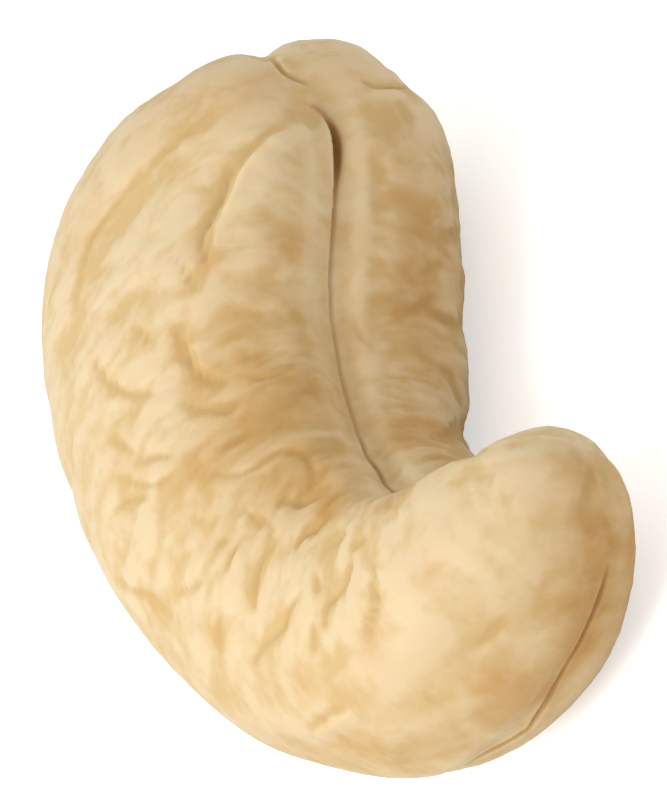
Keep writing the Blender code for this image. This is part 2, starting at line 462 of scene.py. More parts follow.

# %% [markdown]
# ## The slit
# The upper leaf stands a little proud and its edge is crisp. The lower leaf slopes down to
# the crack, so the crack shows as a brown line beside a light edge. It gapes most at its
# upper end, where the two leaves come apart at the root nub, and it is crisp once more at
# the bend. The profile is a sum of soft hills across the slit: a rim, a step down, the
# crack itself and a low swell beyond it. The stain is worked out here too: a brown line in
# the crack, and beside it on the lower leaf a wider band of painted shadow from the upper
# leaf's rim, strongest where the crack gapes. It comes from the skin before it was
# pressed, since a pressed one would measure it askew.

# %% Press the slit
SLIT_REACH = 1.2
GAPE_AT, GAPE_REACH = 1.2, 1.1
CRISP_PIXEL, CRISP_REACH = (374, 472), 1.2
FULL_RUN, FULL_SHARE = 0.8, 0.93
EDGE = (0.03, -0.04)
RIM_RISE, RIM_GAPE, RIM_AT, RIM_WIDTH = 0.05, 0.09, -0.16, 0.48
STEP_DROP, STEP_GAPE, STEP_WIDTH = 0.01, 0.12, 0.30
CRACK_DEPTH, CRACK_GAPE, CRACK_CRISP = 0.035, 0.25, 0.11
CRACK_AT, CRACK_AT_GAPE = 0.02, 0.03
CRACK_WIDTH, CRACK_WIDTH_GAPE = 0.06, 0.04
SWELL_RISE, SWELL_AT, SWELL_WIDTH = 0.07, 0.16, 0.20
# Slit stain: a brown line in the crack, and on the lower leaf's side painted shadow of the upper
# leaf's rim.
SHADOW_AT, SHADOW_REACH = 1.6, 3.0
STAIN_LEAST, SHADOW_MORE, STAIN_CRISP = 0.28, 0.60, 0.2
SHADOW_FAR, SHADOW_FAR_GAPE, STAIN_NEAR = 0.20, 0.06, 0.06

crisp_place = np.array(skin_at_pixel(*CRISP_PIXEL) / MM)
crisp_run = np.linalg.norm(slit_path - crisp_place, axis=1).argmin() * PATH_STEP
which, away, aside, share = beside(slit_path, skin_points(), skin_normals(), SLIT_REACH)
run = share * slit_length
gape = bump(run - GAPE_AT, GAPE_REACH)
crisp = bump(run - crisp_run, CRISP_REACH)
ends = smooth_step(0, FULL_RUN, run) * (1 - smooth_step(FULL_SHARE, 1, share))
near_side = smooth_step(*EDGE, aside)
rim = (RIM_RISE + RIM_GAPE * gape) * bump(aside - RIM_AT, RIM_WIDTH) * near_side
step_down = -(STEP_DROP + STEP_GAPE * gape) * bump(aside, STEP_WIDTH) * (1 - near_side)
depth = CRACK_DEPTH + CRACK_GAPE * gape + CRACK_CRISP * crisp
from_crack = aside - CRACK_AT - CRACK_AT_GAPE * gape
press = -depth * bump(from_crack, CRACK_WIDTH + CRACK_WIDTH_GAPE * gape)
swell = SWELL_RISE * bump(aside - SWELL_AT, SWELL_WIDTH) * (1 - gape)
lift("slit", spread(which, ends * (rim + step_down + press + swell)))

# Brown line in the crack, with a wider band of painted shadow of the rim on its far side.
stain_and_shadow = STAIN_LEAST + SHADOW_MORE * bump(run - SHADOW_AT, SHADOW_REACH) + STAIN_CRISP * crisp
far_shadow = bump(aside, SHADOW_FAR + SHADOW_FAR_GAPE * gape)
crack_and_shadow = spread(which, np.where(aside > 0, far_shadow, bump(aside, STAIN_NEAR)) * stain_and_shadow)

# %% [markdown]
# ## The seam
# Round the back the leaves meet in a fine line: a groove with a low lip on both sides, and
# a weaker stain than the slit's. It runs from the big end to the small one.

# %% Press the seam
SEAM_REACH = 1.0
SEAM_FADES = (0.1, 0.97)
LIP_RISE, LIP_WIDTH = 0.03, 0.24
SEAM_DEPTH, SEAM_WIDTH = 0.12, 0.075
SEAM_STAIN, SEAM_STAIN_WIDTH = 0.45, 0.11

which, away, aside, share = beside(seam_path, skin_points(), skin_normals(), SEAM_REACH)
ends = smooth_step(0, SEAM_FADES[0], share) * (1 - smooth_step(SEAM_FADES[1], 1, share))
profile = LIP_RISE * bump(away, LIP_WIDTH) - SEAM_DEPTH * bump(aside, SEAM_WIDTH)
lift("seam", spread(which, ends * profile))
crack_and_shadow[which] = np.maximum(crack_and_shadow[which], SEAM_STAIN * ends * bump(aside, SEAM_STAIN_WIDTH))

# %% [markdown]
# ## The folds that the photograph shows
# Each fold is a stroke: the pixels that it passes, its half width and its height in
# millimetres, negative for a crease. The upper leaf has a lobe by the root nub with a
# furrow behind it, a long furrow on its back, and short creases where it dried. The solid
# has the furrows and the groove beside the nub in a softer shape, so those are rubbed out
# first. A crease also gets painted shade for the paint, the darker the deeper it is.

# %% Press the folds
STROKE_REACH = 3
STROKE_END = 0.1
STROKE_TAPER = 0.7
CREASE_SHADE_REACH = 0.8
DEEP_CREASE = 0.16
FURROW_REACH = 1.2
FURROW_FADE = 0.45
FURROW_ROUNDS = 70
NUB_ROUNDS = 25
NUB_FILL = 0.16
BACK_FURROW = (
    (202, 122), (172, 147), (148, 170), (116, 205), (95, 235), (82, 270), (73, 310), (68, 350),
    (70, 390),
)
CHEEK_FURROW = ((262, 137), (239, 165), (224, 190), (207, 224), (198, 262))
NUB_GROOVE = ((277, 67), (284, 74), (296, 84), (307, 95), (314, 106))
CHEEK_FOLDS = (
    (((276, 127), (262, 137), (249, 151), (238, 165), (228, 183)), 0.16, -0.08),
    (((230, 170), (224, 190), (216, 207), (206, 226), (202, 243), (204, 259)), 0.12, -0.18),
    (((302, 128), (282, 138), (266, 150), (254, 162), (244, 176), (237, 192), (230, 208),
      (220, 226), (215, 243)), 0.22, 0.15),
    (((202, 122), (188, 133), (172, 147), (156, 162), (148, 170)), 0.10, -0.10),
    (((196, 128), (182, 141), (169, 153)), 0.14, 0.06),
    (((148, 170), (133, 184), (116, 205), (97, 230), (87, 252), (79, 285), (75, 310)), 0.11, -0.08),
    (((214, 232), (210, 246), (206, 258)), 0.12, -0.10),
)
BODY_FOLDS = (
    (((176, 326), (181, 342), (187, 358), (195, 371), (208, 380), (222, 383)), 0.14, -0.15),
    (((186, 330), (193, 345), (201, 358), (211, 369)), 0.15, 0.05),
    (((132, 326), (143, 337), (152, 346)), 0.11, -0.09),
    (((95, 364), (104, 380), (118, 391), (134, 396), (149, 394)), 0.13, -0.11),
    (((183, 404), (205, 409), (231, 411)), 0.13, -0.11),
    (((172, 258), (182, 270), (190, 282), (198, 292)), 0.11, -0.08),
    (((240, 376), (262, 379), (283, 373), (294, 364)), 0.12, -0.06),
    (((112, 438), (121, 445), (131, 452)), 0.12, -0.10),
    (((138, 463), (155, 458), (174, 458)), 0.12, -0.09),
    (((116, 478), (134, 483), (152, 486), (170, 477)), 0.12, -0.09),
    (((116, 510), (128, 501), (150, 498)), 0.12, -0.10),
    (((215, 475), (238, 475), (256, 466), (272, 455), (290, 451), (304, 456), (311, 468),
      (313, 482)), 0.12, -0.08),
    (((218, 448), (234, 443), (249, 435)), 0.12, -0.07),
    (((280, 502), (300, 503), (315, 498), (328, 488)), 0.16, -0.12),
    (((296, 547), (304, 537), (316, 529), (330, 516)), 0.12, -0.13),
    (((255, 605), (256, 588), (259, 571), (265, 557), (274, 545)), 0.11, -0.11),
    (((226, 571), (231, 556), (239, 543)), 0.12, -0.11),
    (((217, 544), (229, 541)), 0.11, -0.07),
    (((242, 512), (256, 519), (272, 531)), 0.12, -0.09),
    (((254, 663), (262, 648), (274, 637), (283, 628), (287, 615), (299, 596)), 0.11, -0.11),
    (((325, 623), (327, 608), (335, 597), (345, 584), (352, 566)), 0.13, -0.12),
    (((318, 590), (316, 574)), 0.12, -0.08),
    (((176, 595), (188, 590), (200, 584)), 0.12, -0.07),
    (((118, 578), (132, 590), (149, 596), (161, 606), (170, 615)), 0.14, -0.09),
    (((314, 648), (312, 626)), 0.11, -0.07),
    (((374, 566), (374, 586), (376, 604), (370, 622), (368, 642)), 0.13, -0.11),
    (((334, 546), (346, 533)), 0.12, -0.09),
    (((355, 546), (366, 538)), 0.12, -0.09),
    (((219, 615), (218, 632), (220, 650)), 0.12, -0.06),
    (((310, 728), (325, 717), (342, 706)), 0.14, -0.07),
    (((318, 736), (336, 724), (356, 710)), 0.15, 0.07),
    (((476, 646), (489, 634), (502, 619)), 0.14, -0.04),
    (((468, 660), (484, 651), (499, 641), (512, 630)), 0.15, 0.03),
    (((583, 508), (588, 490), (590, 468)), 0.22, -0.06),
)
NUB_FOLDS = (
    (((402, 110), (410, 122)), 0.14, -0.08),
    (NOTCH_PIXELS, 0.07, -0.15),
    (CREASE_PIXELS, 0.06, -0.14),
    (((402, 98), (392, 96), (380, 95)), 0.14, 0.07),
    (((376, 150), (378, 200), (377, 250), (375, 290), (372, 330)), 0.30, -0.03),
    (((355, 326), (361, 337), (372, 345)), 0.12, -0.05),
    (((398, 318), (415, 310), (436, 298)), 0.16, -0.07),
    (((425, 274), (445, 264)), 0.16, -0.07),
    (((461, 328), (446, 320), (430, 313)), 0.18, -0.15),
    (((463, 428), (450, 434), (436, 438)), 0.18, -0.15),
    (((458, 236), (442, 240)), 0.20, -0.12),
    (((465, 366), (450, 364), (434, 366)), 0.34, 0.12),
    (((458, 275), (446, 272)), 0.28, 0.08),
)

crease_shade = np.zeros(len(flesh.data.vertices))


def press_strokes(strokes, name):
    """Presses a list of strokes, each a path of points, a half width and a height."""
    places, normals = skin_points(), skin_normals()
    heights = np.zeros(len(places))
    for points, half_width, height in strokes:
        path = fine_path(points)
        which, away, aside, share = beside(path, places, normals, STROKE_REACH * half_width)
        fade = np.sin(math.pi * (STROKE_END + (1 - 2 * STROKE_END) * share)) ** STROKE_TAPER
        heights[which] += height * bump(away, half_width) * fade
        # A crease also gets painted shade, the darker the deeper it is.
        if height < 0:
            deep = min(-height / DEEP_CREASE, 1)
            mark = bump(away, CREASE_SHADE_REACH * half_width) * fade * deep
            crease_shade[which] = np.maximum(crease_shade[which], mark)
    lift(name, heights)


def fade_groove(name, pixels, rounds):
    """Rubs out one of the solid's soft grooves, and gives the weights that it did so with."""
    path = fine_path(on_skin(pixels))
    which, away = beside(path, skin_points(), skin_normals(), FURROW_REACH)[:2]
    weights = spread(which, bump(away, FURROW_FADE))
    relax(name + "_fades", weights, rounds)
    return weights


skin = feel()
at_groove = fade_groove("nub_groove", NUB_GROOVE, NUB_ROUNDS)
lift("nub_groove_fills", NUB_FILL * at_groove)
fade_groove("back_furrow", BACK_FURROW, FURROW_ROUNDS)
fade_groove("cheek_furrow", CHEEK_FURROW, FURROW_ROUNDS)
skin = feel()
for name, folds in (("cheek", CHEEK_FOLDS), ("body", BODY_FOLDS), ("nub", NUB_FOLDS)):
    strokes = [(on_skin(pixels), half_width, height) for pixels, half_width, height in folds]
    press_strokes(strokes, name + "_folds")

# %% [markdown]
# ## Dents and swells on the outline
# A crease that crosses the outline in the photograph shows there as a notch. A stroke stops
# at the last pixel on the skin, which is short of the outline, so these are pressed another
# way: every point of the skin is placed in the picture, and a spot moves the points near its
# pixel whose skin is seen edge on, on both sides of the outline at once.

# %% Press the outline
OUTLINE_SPOTS = (
    ((463, 430), 0.38, -0.22), ((469, 448), 0.50, -0.12), ((463, 324), 0.40, -0.12),
    ((468, 372), 0.60, 0.05), ((421, 97), 0.90, 0.12), ((384, 58), 0.45, -0.13),
    ((135, 117), 1.10, 0.14), ((100, 150), 1.10, 0.12), ((70, 195), 0.90, 0.10),
    ((232, 726), 1.20, 0.07), ((275, 748), 1.10, 0.09), ((447, 768), 0.80, 0.14),
    ((98, 562), 1.20, 0.10),
)
EDGE_ON = 0.45


def picture_place(places):
    """Where each point of the skin lies in the photograph, in pixels."""
    local = (places * MM - np.array(camera_place)) @ np.array(camera_turn.to_3x3())
    across = local[:, :2] / -local[:, 2:] * focal_pixels
    return np.array(AIM_PIXEL) + across * (1, -1)


seen_at = picture_place(skin_points())
edge_on = bump(skin_normals() @ np.array(towards_camera), EDGE_ON)
heights = np.zeros(len(flesh.data.vertices))
for pixel, half_width, height in OUTLINE_SPOTS:
    away = np.linalg.norm(seen_at - pixel, axis=1) / PIXELS_PER_MM
    heights += height * bump(away, half_width) * edge_on
lift("outline", heights)

# %% [markdown]
# ## The folds that it doesn't show
# The underside and the far back dried in the same way. Their creases are drawn at random,
# from a fixed seed, as short strokes that run round the kernel, by their share of the
# middle line and their turn round it.

# %% Scatter more folds on the hidden sides
DICE_SEED = 14
HIDDEN_FOLDS = 60
HIDDEN_TURNS = (-165, -48)
HIDDEN_SHARES = (0.06, 0.80)
HIDDEN_SWEEP = (12, 34)
HIDDEN_LEAN = 0.03
HIDDEN_WANDER = 0.006
HIDDEN_POINTS = 5
HIDDEN_WIDTH = (0.13, 0.22)
HIDDEN_DEPTH = (0.04, 0.11)

dice = np.random.default_rng(DICE_SEED)
steps = np.linspace(-0.5, 0.5, HIDDEN_POINTS)
hidden = []
while len(hidden) < HIDDEN_FOLDS:
    share, turn = dice.uniform(*HIDDEN_SHARES), dice.uniform(*HIDDEN_TURNS)
    sweep, lean = dice.uniform(*HIDDEN_SWEEP), dice.uniform(-HIDDEN_LEAN, HIDDEN_LEAN)
    wander = dice.uniform(-HIDDEN_WANDER, HIDDEN_WANDER, HIDDEN_POINTS)
    shares, turns = share + lean * steps + wander, turn + sweep * steps
    points = [skin_from_line(*place) for place in zip(shares, turns)]
    half_width, height = dice.uniform(*HIDDEN_WIDTH), -dice.uniform(*HIDDEN_DEPTH)
    if None not in points:
        hidden.append(([point / MM for point in points], half_width, height))
press_strokes(hidden, "hidden_folds")

# %% [markdown]
# ## Wrinkles
# Between the folds the flesh is crumpled. The wrinkles run round the kernel, because it
# shrank most along its length, so the noise is stretched: it is sampled in the kernel's own
# directions (along, outwards and up), warped a little so that no two wrinkles are parallel.
# The absolute value of noise has sharp valleys and round crests, as crumpled flesh has.

# %% Wrinkle the skin
WRINKLE_LENGTH = 1.5
WRINKLE_WIDTH = 0.75
BROAD_SIZES = (1.5, 3.0)
ROUGH_SIZES = (0.24, 0.42)
WARP_SIZE = 2.0
WARP_BY = 0.6
WARP_SEEDS = (11.3, 27.9, 41.1)
BROAD_SEED, FOLD_SEED, CRUMPLE_SEED, ROUGH_SEED = 5.7, 61.5, 83.2, 33.3
AT_ONCE = 5000
LINE_SKIP = 2


def along_and_round(places):
    """For each point: how far along the line it lies, and outwards and upwards from it."""
    nearest = np.empty(len(places), int)
    for first in range(0, len(places), AT_ONCE):
        part = places[first : first + AT_ONCE]
        squares = ((part[:, None] - line[None, ::LINE_SKIP]) ** 2).sum(2)
        nearest[first : first + AT_ONCE] = squares.argmin(1) * LINE_SKIP
    gap = places - line[nearest]
    back = (gap * ahead[nearest]).sum(1)
    out = (gap * outward[nearest]).sum(1)
    rise = (gap * upward[nearest]).sum(1)
    return line_lengths[nearest] + back, out, rise


def grain_noise(grain, along_size, round_size, seed):
    """Noise from -1 to 1, stretched along the grain or round it."""
    scaled = grain / (along_size, round_size, round_size) + seed
    return np.array([noise.noise(Vector(row)) for row in scaled])


def near_pixels(spots, places):
    """How strongly each point lies in round spots, each a pixel, a reach and a strength."""
    most = np.zeros(len(places))
    for pixel, reach, strength in spots:
        away = np.linalg.norm(places - np.array(skin_at_pixel(*pixel) / MM), axis=1)
        most = np.maximum(most, strength * bump(away, reach))
    return most


places = skin_points()
grain = np.stack(along_and_round(places), 1)
warp = np.stack([grain_noise(grain, WARP_SIZE, WARP_SIZE, seed) for seed in WARP_SEEDS], 1)
grain = grain + WARP_BY * warp
broad = grain_noise(grain, *BROAD_SIZES, BROAD_SEED)
folds = np.abs(grain_noise(grain, WRINKLE_WIDTH, WRINKLE_LENGTH, FOLD_SEED))
crumple = np.abs(grain_noise(grain, WRINKLE_WIDTH / 2, WRINKLE_LENGTH / 2, CRUMPLE_SEED))
rough = np.abs(grain_noise(grain, *ROUGH_SIZES, ROUGH_SEED))
print("warped by up to", round(WARP_BY * np.abs(warp).max(), 2), "mm")

# %% [markdown]
# ## Calm places
# The small end, the swell of the back, the lobe at the root nub and the rims of the slit
# are nearly smooth in the photograph. A hand would mask these before wrinkling, and so do
# spots at their pixels, a band along the slit and one along the back. The skin is lowered
# by most of the wrinkles' height, so that they don't swell the shape as a whole.

# %% Wrinkle all but the calm places
CALM_SPOTS = (
    ((475, 530), 2.3, 0.75), ((540, 480), 1.5, 0.5), ((195, 90), 2.6, 0.8), ((320, 65), 2.2, 0.9),
    ((270, 180), 1.5, 0.6), ((400, 120), 1.5, 0.5), ((300, 95), 1.6, 0.9), ((608, 560), 2.4, 1.0),
    ((570, 690), 2.0, 0.95), ((490, 748), 1.6, 0.9), ((570, 450), 2.0, 0.95),
    ((60, 250), 1.5, 0.75), ((100, 160), 1.6, 0.75), ((48, 400), 1.2, 0.5), ((420, 300), 1.6, 0.5),
    ((420, 425), 1.7, 0.75), ((425, 360), 1.5, 0.6), ((262, 400), 1.8, 0.6), ((300, 440), 1.6, 0.7),
    ((250, 340), 1.3, 0.5), ((230, 300), 1.0, 0.4), ((420, 745), 1.5, 0.6), ((240, 715), 1.3, 0.5),
)
CALM_BACK = 0.85
CALM_TURN = 20
CALM_SWING = 50
CALM_SLIT = (0.9, 1.8)
CALM_REACH = 2.0
BROAD_HEIGHT, FOLD_HEIGHT, CRUMPLE_HEIGHT, ROUGH_HEIGHT = 0.05, 0.08, 0.06, 0.012
LEVEL_PERCENT = 75

skin = feel()
calm = near_pixels(CALM_SPOTS, places)
which, away = beside(slit_path, places, skin_normals(), CALM_REACH)[:2]
calm[which] = np.maximum(calm[which], 1 - smooth_step(*CALM_SLIT, away))
turn = np.degrees(np.arctan2(grain[:, 2], grain[:, 1]))
calm = np.maximum(calm, CALM_BACK * bump(turn - CALM_TURN, CALM_SWING))
heights = BROAD_HEIGHT * broad + FOLD_HEIGHT * folds
heights = (heights + CRUMPLE_HEIGHT * crumple + ROUGH_HEIGHT * rough) * (1 - calm)
lift("wrinkles", heights - np.percentile(heights, LEVEL_PERCENT))

# %% [markdown]
# ## What the paint needs to know
# The paint darkens the skin as painted shade where it lies deep, in its creases and broad
# hollows, and makes it paler on its crests. The material gets that from numbers stored on
# the skin: how hollow it is at each point, how toasted or shaded, and how near to a crack.
# Hollowness is the gap between the skin and a smoothed copy of it, which is what a
# painter's wash finds when it runs into the creases.

# %% Measure hollows
FINE_ROUNDS = 45
BROAD_ROUNDS = 220
SOFTEN_ROUNDS = 3
DEEP_HOLLOW = 0.03
DEEP_VALLEY = 0.10
MOST_VALUES = (2, 98)

edge_ends = np.empty(len(flesh.data.edges) * 2, int)
flesh.data.edges.foreach_get("vertices", edge_ends)
first, second = edge_ends.reshape(-1, 2).T
neighbours = np.bincount(edge_ends, minlength=len(places)).clip(1)


def smoothed(values, rounds):
    """Values of the skin's points, averaged with their neighbours' a number of times."""
    for _ in range(rounds):
        total = np.bincount(first, values[second], len(values))
        total = total + np.bincount(second, values[first], len(values))
        values = (values + total / neighbours) / 2
    return values


def depth_below(rounds):
    """How far each point lies below the smoothed skin, in millimetres."""
    places = skin_points()
    smooth = np.stack([smoothed(places[:, k], rounds) for k in range(3)], 1)
    depth = ((smooth - places) * skin_normals()).sum(1)
    return depth - smoothed(depth, 2 * rounds)


def store(name, values):
    """Writes one number for each point of the skin, for the material to read."""
    layer = flesh.data.attributes.new(name, "FLOAT", "POINT")
    layer.data.foreach_set("value", values.astype(np.float32))
    low, high = np.percentile(values, MOST_VALUES)
    print(name, "runs from", round(float(low), 3), "to", round(float(high), 3))


# Hollow and valley drive painted shade: darker in creases and broad hollows, paler on crests.
store("hollow", smoothed(depth_below(FINE_ROUNDS), SOFTEN_ROUNDS) / DEEP_HOLLOW)
store("valley", depth_below(BROAD_ROUNDS) / DEEP_VALLEY)

# %% [markdown]
# ## Toasted patches, tan, painted shade and painted light
# The roaster marks a kernel in patches. Each one that the photograph shows is a soft spot:
# its pixel, its reach in millimetres and its strength. The toast and tan spots are roast
# colour in part, and in part painted shade on the inner hollow, the lower leaf and the
# small end; the pale spots are paler flesh and painted light on lit faces and crests. A tan
# band follows the back, and a band of painted shade the belly. The hidden sides get
# toasted patches from the same dice as their folds. The painted shade of creases and the
# stain and painted shadow of cracks are stored with them.

# %% Mark the patches
# Toasted patches, and painted shade on the inner flank, the lower leaf and the small end.
TOAST_AND_SHADE_SPOTS = (
    ((178, 342), 0.45, 0.8), ((205, 376), 0.55, 0.8), ((212, 258), 0.7, 0.7),
    ((288, 240), 0.7, 0.7), ((270, 275), 0.6, 0.4), ((200, 472), 0.8, 0.6), ((227, 547), 0.35, 0.6),
    ((218, 640), 0.5, 0.6), ((297, 680), 0.6, 0.6), ((352, 742), 0.8, 0.7), ((372, 648), 0.5, 0.6),
    ((155, 610), 0.5, 0.5), ((505, 680), 0.9, 0.7), ((572, 466), 0.6, 0.5), ((596, 530), 1.1, 0.5),
    ((590, 590), 1.1, 0.6), ((578, 645), 1.1, 0.6), ((545, 690), 1.0, 0.6), ((425, 582), 0.4, 0.4),
    ((255, 590), 0.4, 0.4), ((287, 618), 0.4, 0.5), ((330, 500), 0.8, 0.5), ((394, 193), 0.5, 0.7),
    ((425, 215), 1.0, 0.8), ((420, 270), 1.0, 0.8), ((414, 301), 0.8, 0.7), ((403, 438), 0.8, 0.8),
    ((440, 430), 1.0, 0.8), ((430, 360), 1.4, 0.5), ((400, 150), 0.8, 0.4), ((250, 80), 1.0, 0.3),
    ((215, 110), 0.8, 0.3), ((330, 60), 1.8, 0.2),
)
# Tan, and painted shade on the inner hollow, the lower leaf and the small end's far side.
TAN_AND_SHADE_SPOTS = (
    ((200, 90), 2.5, 0.35), ((250, 85), 1.8, 0.5), ((150, 130), 1.6, 0.3), ((330, 60), 1.8, 0.15),
    ((315, 100), 0.9, 0.4), ((85, 220), 1.3, 0.3), ((240, 330), 1.1, 0.7), ((255, 370), 1.3, 1.1),
    ((262, 425), 1.7, 1.15), ((300, 465), 1.7, 1.2), ((300, 395), 1.6, 1.1), ((332, 507), 0.9, 1.0),
    ((225, 375), 1.0, 0.7), ((290, 330), 1.3, 0.75), ((285, 240), 0.9, 0.5),
    ((410, 160), 1.8, 0.45), ((425, 240), 1.6, 0.75), ((415, 300), 1.5, 0.8),
    ((425, 350), 1.5, 0.55), ((420, 430), 1.6, 0.75), ((450, 460), 0.9, 0.9),
    ((590, 482), 0.9, 1.0), ((596, 520), 1.0, 1.2), ((598, 560), 1.1, 1.3), ((590, 605), 1.1, 1.3),
    ((578, 640), 1.0, 1.4), ((560, 668), 1.0, 1.5), ((535, 695), 1.0, 1.5), ((505, 712), 1.0, 1.4),
    ((565, 560), 0.8, 0.5), ((556, 620), 0.7, 0.6), ((485, 690), 0.7, 0.7), ((400, 762), 1.3, 0.6),
    ((300, 745), 0.9, 0.5), ((574, 460), 0.6, 0.4), ((380, 510), 0.6, 0.6), ((356, 240), 1.0, 0.45),
    ((352, 340), 0.9, 0.4), ((318, 360), 0.9, 0.4), ((260, 530), 0.9, 0.4), ((190, 465), 0.8, 0.45),
)
# Paler flesh, and painted light on lit faces and on crests.
PALE_AND_HIGHLIGHT_SPOTS = (
    ((465, 545), 2.4, 1.3), ((525, 475), 1.5, 1.3), ((440, 610), 1.3, 0.8), ((420, 550), 1.2, 0.7),
    ((330, 620), 1.3, 0.4), ((110, 390), 1.2, 0.5), ((130, 300), 1.3, 0.4), ((238, 180), 0.5, 0.8),
    ((270, 150), 0.7, 0.7), ((226, 205), 0.5, 0.8), ((240, 590), 0.8, 0.5), ((500, 580), 1.2, 0.7),
    ((350, 245), 0.8, 0.4), ((300, 150), 1.0, 0.4), ((160, 520), 1.2, 0.4), ((300, 700), 1.2, 0.4),
)
# A tan band along the back, and a band of painted shade along the belly.
BACK_TAN, BACK_TURN, BACK_SWING = 0.35, 8, 32
BELLY_SHADE, BELLY_STARTS, BELLY_ENDS = 0.5, (-10, -50), (-140, -120)
HIDDEN_TOAST = 26
TOAST_SHARES = (0.04, 0.96)
TOAST_STRENGTH = (0.4, 0.8)
TOAST_REACH = (0.4, 1.3)

places = skin_points()
toast_and_shade = near_pixels(TOAST_AND_SHADE_SPOTS, places)
for _ in range(HIDDEN_TOAST):
    point = skin_from_line(dice.uniform(*TOAST_SHARES), dice.uniform(*HIDDEN_TURNS))
    away = np.linalg.norm(places - np.array(point / MM), axis=1)
    strength, reach = dice.uniform(*TOAST_STRENGTH), dice.uniform(*TOAST_REACH)
    toast_and_shade = np.maximum(toast_and_shade, strength * bump(away, reach))
store("toast_and_shade", toast_and_shade)
# Tan and painted shade from the spots, tan along the back, painted shade along the belly.
tan_and_shade = np.maximum(near_pixels(TAN_AND_SHADE_SPOTS, places), BACK_TAN * bump(turn - BACK_TURN, BACK_SWING))
belly = smooth_step(*BELLY_STARTS, turn) + smooth_step(*BELLY_ENDS, turn) - 1
store("tan_and_shade", np.maximum(tan_and_shade, BELLY_SHADE * belly.clip(0)))
store("pale_and_highlight", near_pixels(PALE_AND_HIGHLIGHT_SPOTS, places))
store("crease_shade", crease_shade)
store("crack_and_shadow", crack_and_shadow)
grain_layer = flesh.data.attributes.new("grain", "FLOAT_VECTOR", "POINT")
grain_layer.data.foreach_set("vector", grain.astype(np.float32).ravel())

# %% [markdown]
# ## Streaks
# Gold and rosy streaks follow the wrinkles, as both came from the same drying. A painted
# image would be easier, but it would stretch over the bend and has one size. Noise read
# along the kernel's own grain follows every turn. Streaks are needed at two sizes, so they
# are a node group, built once and placed twice.

# %% A node group for streaks
STREAK_NOISE = (1.0, 3.0, 0.55, 0.3)
NOISE_MIDDLE = 0.5


def add_node(tree, kind, **settings):
    """Adds a shader node and gives it its settings."""
    node = tree.nodes.new("ShaderNode" + kind)
    for name, value in settings.items():
        setattr(node, name, value)
    return node


def read_attribute(tree, name, output="Fac"):
    """The numbers that were stored on the skin under a name."""
    return add_node(tree, "Attribute", attribute_name=name).outputs[output]


def maths(tree, operation, *values, clamp=False):
    """One piece of arithmetic on numbers and other nodes' outputs."""
    node = add_node(tree, "Math", operation=operation, use_clamp=clamp)
    for socket, value in zip(node.inputs, values):
        if isinstance(value, (int, float)):
            socket.default_value = value
        else:
            tree.links.new(value, socket)
    return node.outputs["Value"]


def blend_colours(tree, factor, below, above, how="MIX"):
    """Lays one colour over another by a factor."""
    node = add_node(tree, "Mix", data_type="RGBA", blend_type=how)
    sockets = [socket for socket in node.inputs if socket.enabled]
    for socket, value in zip(sockets, (factor, below, above)):
        if isinstance(value, tuple):
            socket.default_value = value
        else:
            tree.links.new(value, socket)
    return next(socket for socket in node.outputs if socket.enabled)


def add_noise(tree, vector, scale, detail, roughness=0.5, swirl=0.0):
    """Noise on some coordinates; a higher scale or detail gives finer spots."""
    node = add_node(tree, "TexNoise")
    sizes = {"Scale": scale, "Detail": detail, "Roughness": roughness, "Distortion": swirl}
    for name, value in sizes.items():
        node.inputs[name].default_value = value
    tree.links.new(vector, node.inputs["Vector"])
    return node.outputs["Fac"]


streaks = bpy.data.node_groups.new("streaks_along_grain", "ShaderNodeTree")
for name, default in (("Length", 2.0), ("Width", 0.8), ("Seed", 0.0), ("Contrast", 1.0)):
    socket = streaks.interface.new_socket(name, in_out="INPUT", socket_type="NodeSocketFloat")
    socket.default_value = default
streaks.interface.new_socket("Mask", in_out="OUTPUT", socket_type="NodeSocketFloat")
inside = streaks.nodes.new("NodeGroupInput")
outside = streaks.nodes.new("NodeGroupOutput")
stretch = add_node(streaks, "CombineXYZ")
for name, socket in (("X", "Width"), ("Y", "Length"), ("Z", "Length")):
    streaks.links.new(inside.outputs[socket], stretch.inputs[name])
divide = add_node(streaks, "VectorMath", operation="DIVIDE")
streaks.links.new(read_attribute(streaks, "grain", "Vector"), divide.inputs[0])
streaks.links.new(stretch.outputs["Vector"], divide.inputs[1])
shift = add_node(streaks, "VectorMath", operation="ADD")
streaks.links.new(divide.outputs["Vector"], shift.inputs[0])
streaks.links.new(inside.outputs["Seed"], shift.inputs[1])
cloud = add_noise(streaks, shift.outputs["Vector"], *STREAK_NOISE)
centred = maths(streaks, "SUBTRACT", cloud, NOISE_MIDDLE)
mask = maths(streaks, "MULTIPLY", centred, inside.outputs["Contrast"])
streaks.links.new(mask, outside.inputs["Mask"])
print("node group", streaks.name, "has", len(streaks.nodes), "nodes")

# %% [markdown]
# ## Roasted flesh
# The colour is built in layers: a cream flesh that is rosy in places, gold as painted
# shade in its hollows and paler as painted light where it is lit, orange-brown where it was
# toasted and where shade is painted, darker again where it is tan and where shade is
# painted, ochre as painted shade in the creases, and brown in the cracks with painted
# shadow beside the slit. Each is one layer, laid on in that order, as a painter glazes.
# Dried flesh is semi-matt, a little glossier on its crests, and light goes half a
# millimetre into it, which softens the small shadows.

# %% Paint the flesh
CREAM = (0.80, 0.64, 0.385, 1)
